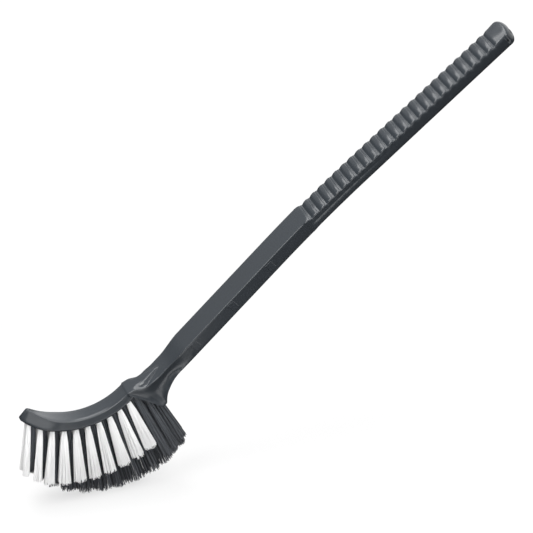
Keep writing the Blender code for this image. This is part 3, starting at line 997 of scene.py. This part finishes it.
def tuft_points(name, places):
    """A mesh of one point a tuft, in the standing pose, with what its bristles need as attributes."""
    turned = handle_turn.to_3x3()
    rows = []
    for _, _, side, column, dark in places:
        root, along = tuft_axis(side, column)
        across = along.cross(Vector((0.0, 1.0, 0.0))).normalized()
        full = middle_tuft_spread if side == 0.0 else tuft_spread
        spread = mix(tip_tuft_spread, full, min(1.0, column / spread_full_column))
        if in_heel(column):
            spread = heel_tuft_spread if side == 0.0 else heel_side_spread
        length = tuft_length(root, along, column, dark)
        rows.append((handle_turn @ root, turned @ along, turned @ across, length, spread))
    data = bpy.data.meshes.new(name)
    data.from_pydata([row[0] for row in rows], [], [])
    for label, kind, at in (("along", "FLOAT_VECTOR", 1), ("across", "FLOAT_VECTOR", 2)):
        stored = data.attributes.new(label, kind, "POINT")
        stored.data.foreach_set("vector", [value for row in rows for value in row[at]])
    for label, at in (("free_length", 3), ("spread", 4)):
        stored = data.attributes.new(label, "FLOAT", "POINT")
        stored.data.foreach_set("value", [row[at] for row in rows])
    return placed(name, data)


def bristles(name, places, material, unevenness, widening, seed):
    points = tuft_points(name + "_roots", places)
    values = {
        "Bristles": bristles_per_tuft,
        "Segments": bristle_segments,
        "Sides": bristle_sides,
        "Radius": bristle_radius,
        "Root Radius": bunched_radius,
        "Unevenness": unevenness,
        "Stray": stray_reach,
        "Widening": widening,
        "Seed": seed,
        "Material": material,
    }
    use_tree(points, tuft_tree, values)
    return baked(points, name)


# Materials


def shader_group(name, inputs, outputs):
    group = bpy.data.node_groups.new(name, "ShaderNodeTree")
    for label, kind, value in inputs:
        socket = group.interface.new_socket(label, in_out="INPUT", socket_type="NodeSocket" + kind)
        if value is not None:
            socket.default_value = value
    for label, kind in outputs:
        group.interface.new_socket(label, in_out="OUTPUT", socket_type="NodeSocket" + kind)
    t = Tree(group)
    return group, t, group.nodes.new("NodeGroupInput").outputs, group.nodes.new("NodeGroupOutput").inputs


def material(name):
    made = bpy.data.materials.new(name)
    made.use_nodes = True
    t = Tree(made.node_tree)
    return made, t, made.node_tree.nodes["Principled BSDF"]


def satin_grain():
    """Moulded plastic's fine texture: a faint mottle in its colour, uneven gloss, and a shallow grain."""
    inputs = [
        ("Vector", "Vector", None),
        ("Colour", "Color", (0.05, 0.05, 0.05, 1.0)),
        ("Roughness", "Float", 0.4),
        ("Mottle", "Float", 0.05),
        ("Grain Size", "Float", 0.0006),
        ("Grain Depth", "Float", 0.1),
    ]
    outputs = [("Colour", "Color"), ("Roughness", "Float"), ("Normal", "Vector")]
    group, t, given, put = shader_group("satin_grain", inputs, outputs)
    values = {"Vector": given["Vector"], "Scale": mottle_scale, "Detail": 4.0, "Roughness": 0.6}
    broad = t.add("ShaderNodeTexNoise", values)
    lighter = t.maths("MULTIPLY_ADD", t.maths("SUBTRACT", broad, 0.5), given["Mottle"], 1.0)
    colour = t.vector("SCALE", given["Colour"], scale=lighter)
    group.links.new(colour, put["Colour"])
    rough = t.maths("MULTIPLY_ADD", t.maths("SUBTRACT", broad, 0.5), gloss_variation, given["Roughness"])
    group.links.new(rough, put["Roughness"])
    size = t.maths("DIVIDE", 1.0, given["Grain Size"])
    fine = t.add("ShaderNodeTexNoise", {"Vector": given["Vector"], "Scale": size, "Detail": 2.0})
    values = {"Strength": given["Grain Depth"], "Distance": grain_height, "Height": fine}
    bump = t.add("ShaderNodeBump", values)
    group.links.new(bump, put["Normal"])
    return group


def bristle_fibre():
    """One bristle's colour: it varies from bristle to bristle, and is a little paler at the cut end."""
    inputs = [
        ("Colour", "Color", (0.8, 0.8, 0.8, 1.0)),
        ("Tip Colour", "Color", (0.9, 0.9, 0.9, 1.0)),
        ("Variation", "Float", 0.1),
    ]
    group, t, given, put = shader_group("bristle_fibre", inputs, [("Colour", "Color")])
    shade = t.add("ShaderNodeAttribute", {}, "Fac", attribute_name="shade")
    share = t.add("ShaderNodeAttribute", {}, "Fac", attribute_name="reach_share")
    tip = t.maths("POWER", share, 3.0)
    values = {"Factor": tip, "A": given["Colour"], "B": given["Tip Colour"]}
    colour = t.add("ShaderNodeMix", values, 2, data_type="RGBA")
    lighter = t.maths("MULTIPLY_ADD", t.maths("SUBTRACT", shade, 0.5), given["Variation"], 1.0)
    group.links.new(t.vector("SCALE", colour, scale=lighter), put["Colour"])
    return group


def grey_plastic():
    made, t, shader = material("satin_grey_plastic")
    place = t.add("ShaderNodeTexCoord", out="Object")
    grain = made.node_tree.nodes.new("ShaderNodeGroup")
    grain.node_tree = satin_grain()
    made.node_tree.links.new(place, grain.inputs["Vector"])
    grain.inputs["Colour"].default_value = grey_colour
    grain.inputs["Roughness"].default_value = grey_roughness
    grain.inputs["Mottle"].default_value = mottle
    grain.inputs["Grain Size"].default_value = grain_size
    grain.inputs["Grain Depth"].default_value = grain_depth
    for name, socket in (("Colour", "Base Color"), ("Roughness", "Roughness"), ("Normal", "Normal")):
        made.node_tree.links.new(grain.outputs[name], shader.inputs[socket])
    shader.inputs["IOR"].default_value = grey_refraction
    return made


def bristle_material(name, colour, tip_colour, variation, roughness):
    made, _, shader = material(name)
    fibre = made.node_tree.nodes.new("ShaderNodeGroup")
    fibre.node_tree = fibre_group
    fibre.inputs["Colour"].default_value = (*colour, 1.0)
    fibre.inputs["Tip Colour"].default_value = (*tip_colour, 1.0)
    fibre.inputs["Variation"].default_value = variation
    made.node_tree.links.new(fibre.outputs["Colour"], shader.inputs["Base Color"])
    shader.inputs["Roughness"].default_value = roughness
    return made


# Room


def stage_material(name):
    """White paper. The camera sees it evenly white but for the soft shadow near the brush. The brush sees its
    colour, with a pool of light painted in front of the head and painted shade farther away."""
    made, t, shader = material(name)
    shader.inputs["Roughness"].default_value = 0.9
    shader.inputs["Specular IOR Level"].default_value = 0.0
    place = t.add("ShaderNodeTexCoord", out="Object")
    # Painted light: the paper's colour is bright in front of the head and fades to painted shade farther
    # away, for the brush's reflections and bounce light
    away = t.vector("DISTANCE", place, painted_light_middle, out="Value")
    brightness = t.fade(away, painted_light_reach, (painted_light_paper, painted_shade_paper))
    brightness = t.add("ShaderNodeCombineXYZ", {0: brightness, 1: brightness, 2: brightness})
    made.node_tree.links.new(brightness, shader.inputs["Base Color"])
    seen = t.add("ShaderNodeLightPath", out="Is Camera Ray")
    paper = t.add("ShaderNodeEmission", {"Color": (1.0, 1.0, 1.0, 1.0), "Strength": paper_strength})
    shaded = t.add("ShaderNodeBsdfDiffuse", {"Color": shadow_paper})
    away = t.vector("DISTANCE", place, shadow_middle, out="Value")
    near = t.fade(away, shadow_reach, (shadow_share, 0.0))
    seen_paper = t.add("ShaderNodeMixShader", {0: near, 1: paper, 2: shaded})
    both = t.add("ShaderNodeMixShader", {0: seen, 1: shader.outputs[0], 2: seen_paper})
    made.node_tree.links.new(both, made.node_tree.nodes["Material Output"].inputs["Surface"])
    return made


def floor():
    mesh = bmesh.new()
    bmesh.ops.create_grid(mesh, x_segments=2, y_segments=2, size=4.0)
    made = object_of("studio_floor", mesh)
    made.data.materials.append(stage_material("studio_floor"))
    return made


def sky():
    world = bpy.data.worlds.new("studio")
    world.use_nodes = True
    bpy.context.scene.world = world
    t = Tree(world.node_tree)
    background = world.node_tree.nodes["Background"]
    seen = t.add("ShaderNodeLightPath", out="Is Camera Ray")
    # The studio is brighter behind and above the brush than in front of it
    facing = t.add("ShaderNodeTexCoord", out="Generated")
    high = t.vector("DOT_PRODUCT", facing, high_facing, out="Value")
    high = t.fade(high, high_reach, high_strength)
    # It is dark low down on the left
    low = t.vector("DOT_PRODUCT", facing, low_facing, out="Value")
    low = t.fade(low, low_reach, low_strength)
    brightness = t.maths("ADD", high, low)
    strength = t.add("ShaderNodeMix", {"Factor": seen, "A": brightness, "B": 1.0}, data_type="FLOAT")
    background.inputs["Color"].default_value = (1.0, 1.0, 1.0, 1.0)
    world.node_tree.links.new(strength, background.inputs["Strength"])


def soft_light(name, place, aim, size, power):
    data = bpy.data.lights.new(name, "AREA")
    data.shape = "RECTANGLE"
    data.size, data.size_y = size
    data.energy = power
    made = placed(name, data)
    made.location = place
    made.rotation_euler = (Vector(aim) - Vector(place)).to_track_quat("-Z", "Y").to_euler()


def camera():
    level = math.cos(camera_elevation)
    across, away = math.sin(camera_azimuth) * level, -math.cos(camera_azimuth) * level
    back = Vector((across, away, math.sin(camera_elevation)))
    data = bpy.data.cameras.new("camera")
    data.lens = camera_lens
    data.sensor_width = 36.0
    data.clip_end = 20.0
    made = placed("camera", data)
    made.location = standing_at + camera_aim + back * camera_distance
    made.rotation_euler = (-back).to_track_quat("-Z", "Y").to_euler()
    bpy.context.scene.camera = made


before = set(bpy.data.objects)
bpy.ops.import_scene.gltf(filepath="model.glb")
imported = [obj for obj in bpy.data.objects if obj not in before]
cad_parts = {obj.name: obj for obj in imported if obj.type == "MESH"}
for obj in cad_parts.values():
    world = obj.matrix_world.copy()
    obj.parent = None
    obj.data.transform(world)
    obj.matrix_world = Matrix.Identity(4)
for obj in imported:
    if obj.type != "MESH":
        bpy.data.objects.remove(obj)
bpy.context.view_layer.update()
handle_turn = standing()
tuft_tree = bristle_tree()
fibre_group = bristle_fibre()
grey = grey_plastic()
white = bristle_material("white_nylon", white_colour, white_colour, variation=0.08, roughness=0.45)
dark = bristle_material("dark_nylon", dark_colour, dark_tip_colour, variation=1.3, roughness=0.26)

places = tuft_places()

body = moulded_handle()
values = {"First": groove_first, "Pitch": groove_pitch, "Lean": rib_lean, "Material": grey}
use_tree(body, rib_tree(), values)
body = baked(body, "ribbed_handle")
helpers = [head_strip(), pad_blocks(), pocket_block(), hole_rods(places)]
for helper, operation in zip(helpers, ("UNION", "UNION", "DIFFERENCE", "DIFFERENCE")):
    helper.data.materials.append(grey)
    boolean(body, helper, operation)
body = baked(body, "moulded_body")
for helper in helpers:
    bpy.data.objects.remove(helper)
shade(body.data)
body.data.transform(handle_turn)
body.data.materials.clear()
body.data.materials.append(grey)
body.data.polygons.foreach_set("material_index", [0] * len(body.data.polygons))
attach(body, "root")
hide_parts("handle_and_head")

for name, dark_ones, finish, slot, unevenness, widening, seed in (
    ("white_bristles", False, white, "white_bristle", 0.0018, 1.14, 3),
    ("dark_bristles", True, dark, "dark_bristle", 0.0013, 1.28, 5),
):
    chosen = [place for place in places if place[4] == dark_ones]
    made = bristles(name, chosen, finish, unevenness, widening, seed)
    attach(made, "root")
    colour = "dark" if dark_ones else "white"
    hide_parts(*[f"tuft_{row}_{k + 1:02d}_{colour}" for row, k, _, _, _ in chosen])

floor()
sky()
soft_light("overhead_softbox", (-0.15, 0.29, 0.806), (-0.15, 0.29, 0.0), (0.60, 0.86), 7.9)
soft_light("left_softbox", (-0.53, -0.2, 0.71), (-0.02, 0.0, 0.1), (0.45, 0.45), 4.9)
soft_light("front_fill", (-0.13, -0.33, 0.17), (-0.12, 0.0, 0.02), (0.35, 0.22), 0.54)
soft_light("edge_light", (0.16, -0.42, 0.77), (-0.10, 0.0, 0.05), (0.30, 0.30), 2.3)
camera()
bpy.context.scene.view_settings.view_transform = "Standard"
